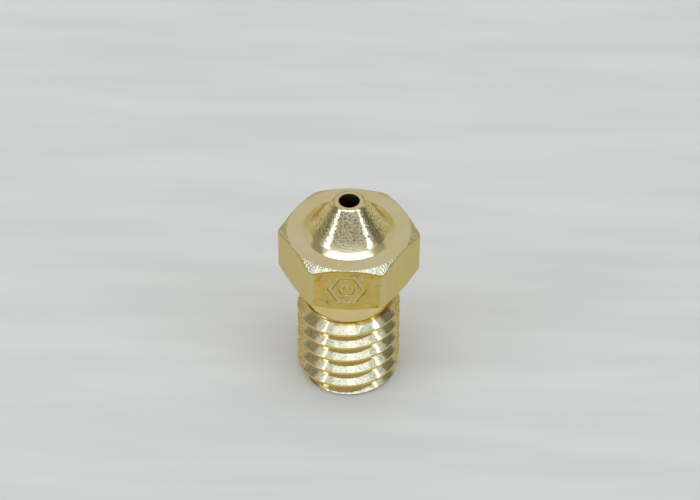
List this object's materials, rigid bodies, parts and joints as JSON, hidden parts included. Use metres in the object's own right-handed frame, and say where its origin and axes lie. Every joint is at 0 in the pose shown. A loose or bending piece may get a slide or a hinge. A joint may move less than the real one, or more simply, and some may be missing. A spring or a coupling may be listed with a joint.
{
  "type": "3d printer nozzle",
  "caption": "Brass hot-end nozzle: threaded stub, relieved neck, chamfered hexagon and conical tip, with a filament bore narrowing to the orifice.",
  "frame": {"origin": "centre of the threaded end's flat face", "axes": "+Z along the nozzle's axis from the threaded end to the tip; two hexagon flats face +Y and -Y, and the engraved mark is on the -Y flat"},
  "size_m": [0.008, 0.007, 0.0125],
  "materials": {
    "brass": "bare machined brass: bright turned cone, thread and end faces, duller drawn-bar flats"
  },
  "bodies": {
    "root": {"nozzle": "brass"}
  },
  "joints": []
}
